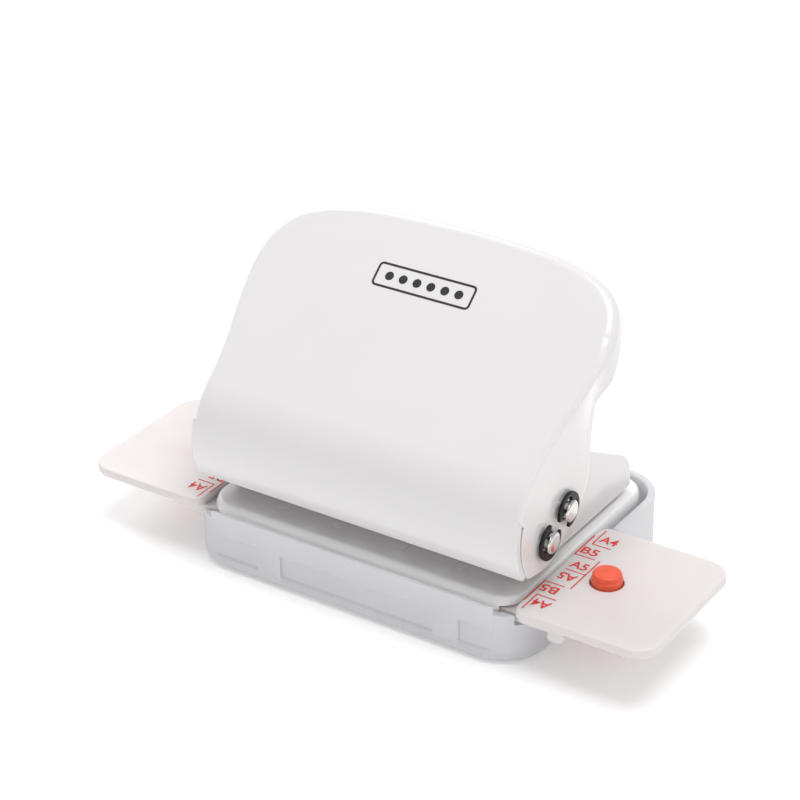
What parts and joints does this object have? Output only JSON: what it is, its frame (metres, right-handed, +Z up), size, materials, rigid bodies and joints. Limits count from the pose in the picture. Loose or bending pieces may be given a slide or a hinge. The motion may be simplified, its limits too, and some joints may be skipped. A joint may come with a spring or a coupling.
{
  "type": "six-hole paper punch",
  "caption": "Desktop loose-leaf paper punch with a pressed-steel lever handle, spring-returned punches, side paper guides and a translucent chip tray.",
  "frame": {"origin": "on the table under the chip tray, straight below the middle of the row of punches", "axes": "+X along the row of punches, towards the right-hand guide plate; +Y towards the side where paper goes in; +Z up"},
  "size_m": [0.1186, 0.054, 0.0613],
  "materials": {
    "frosted_plastic": "translucent frosted polypropylene, finely grained",
    "white_paint": "smooth glossy off-white powder coat over pressed steel",
    "tool_steel": "ground hardened steel",
    "nickel_steel": "bright nickel plate",
    "spring_steel": "drawn spring wire",
    "black_steel": "black phosphated spring steel",
    "milky_plastic": "milky white satin moulding with red paper-size marks",
    "coral_plastic": "coral red satin-gloss moulding"
  },
  "bodies": {
    "base": {"base_pan": "white_paint", "die_strip": "tool_steel", "die_screw_left": "nickel_steel", "die_screw_right": "nickel_steel", "guide_frame": "white_paint", "foot_rivet_1": "white_paint", "foot_rivet_2": "white_paint", "foot_rivet_3": "white_paint", "foot_rivet_4": "white_paint", "top_guide": "nickel_steel", "guide_rivet_left": "nickel_steel", "guide_rivet_right": "nickel_steel", "pivot_pin": "nickel_steel", "pivot_clip_left": "black_steel", "pivot_clip_right": "black_steel", "punch_spring_1": "spring_steel", "punch_spring_2": "spring_steel", "punch_spring_3": "spring_steel", "punch_spring_4": "spring_steel", "punch_spring_5": "spring_steel", "punch_spring_6": "spring_steel"},
    "handle": {"handle": "white_paint", "pressure_rod": "nickel_steel", "rod_clip_left": "black_steel", "rod_clip_right": "black_steel"},
    "punch_1": {"punch_1": "tool_steel"},
    "punch_2": {"punch_2": "tool_steel"},
    "punch_3": {"punch_3": "tool_steel"},
    "punch_4": {"punch_4": "tool_steel"},
    "punch_5": {"punch_5": "tool_steel"},
    "punch_6": {"punch_6": "tool_steel"},
    "guide_left": {"guide_plate_left": "milky_plastic", "locating_button_left": "coral_plastic"},
    "guide_right": {"guide_plate_right": "milky_plastic", "locating_button_right": "coral_plastic"},
    "tray": {"chip_tray": "frosted_plastic"}
  },
  "joints": [
    {"name": "handle_press", "type": "hinge", "parent": "base", "child": "handle", "pos_m": [0, -0.006, 0.0207], "axis": [-1, 0, 0], "range_deg": [0, 36], "stiffness_Nm_per_rad": 0.5, "springref_deg": -20.05},
    {"name": "punch_drop_1", "type": "slide", "parent": "base", "child": "punch_1", "axis": [0, 0, -1], "range_m": [0, 0.00425], "deforming": ["punch_spring_1"]},
    {"name": "punch_drop_2", "type": "slide", "parent": "base", "child": "punch_2", "axis": [0, 0, -1], "range_m": [0, 0.00425], "deforming": ["punch_spring_2"]},
    {"name": "punch_drop_3", "type": "slide", "parent": "base", "child": "punch_3", "axis": [0, 0, -1], "range_m": [0, 0.00425], "deforming": ["punch_spring_3"]},
    {"name": "punch_drop_4", "type": "slide", "parent": "base", "child": "punch_4", "axis": [0, 0, -1], "range_m": [0, 0.00425], "deforming": ["punch_spring_4"]},
    {"name": "punch_drop_5", "type": "slide", "parent": "base", "child": "punch_5", "axis": [0, 0, -1], "range_m": [0, 0.00425], "deforming": ["punch_spring_5"]},
    {"name": "punch_drop_6", "type": "slide", "parent": "base", "child": "punch_6", "axis": [0, 0, -1], "range_m": [0, 0.00425], "deforming": ["punch_spring_6"]},
    {"name": "guide_left_pull", "type": "slide", "parent": "base", "child": "guide_left", "axis": [-1, 0, 0], "range_m": [0, 0.008]},
    {"name": "guide_right_pull", "type": "slide", "parent": "base", "child": "guide_right", "axis": [1, 0, 0], "range_m": [0, 0.008]},
    {"name": "tray_pull_off", "type": "slide", "parent": "base", "child": "tray", "axis": [0, 0, -1], "range_m": [0, 0.012]}
  ],
  "couplings": [
    {"joint": "punch_drop_1", "follows": "handle_press", "m_per_rad": 0.00659},
    {"joint": "punch_drop_2", "follows": "handle_press", "m_per_rad": 0.00659},
    {"joint": "punch_drop_3", "follows": "handle_press", "m_per_rad": 0.00659},
    {"joint": "punch_drop_4", "follows": "handle_press", "m_per_rad": 0.00659},
    {"joint": "punch_drop_5", "follows": "handle_press", "m_per_rad": 0.00659},
    {"joint": "punch_drop_6", "follows": "handle_press", "m_per_rad": 0.00659}
  ]
}
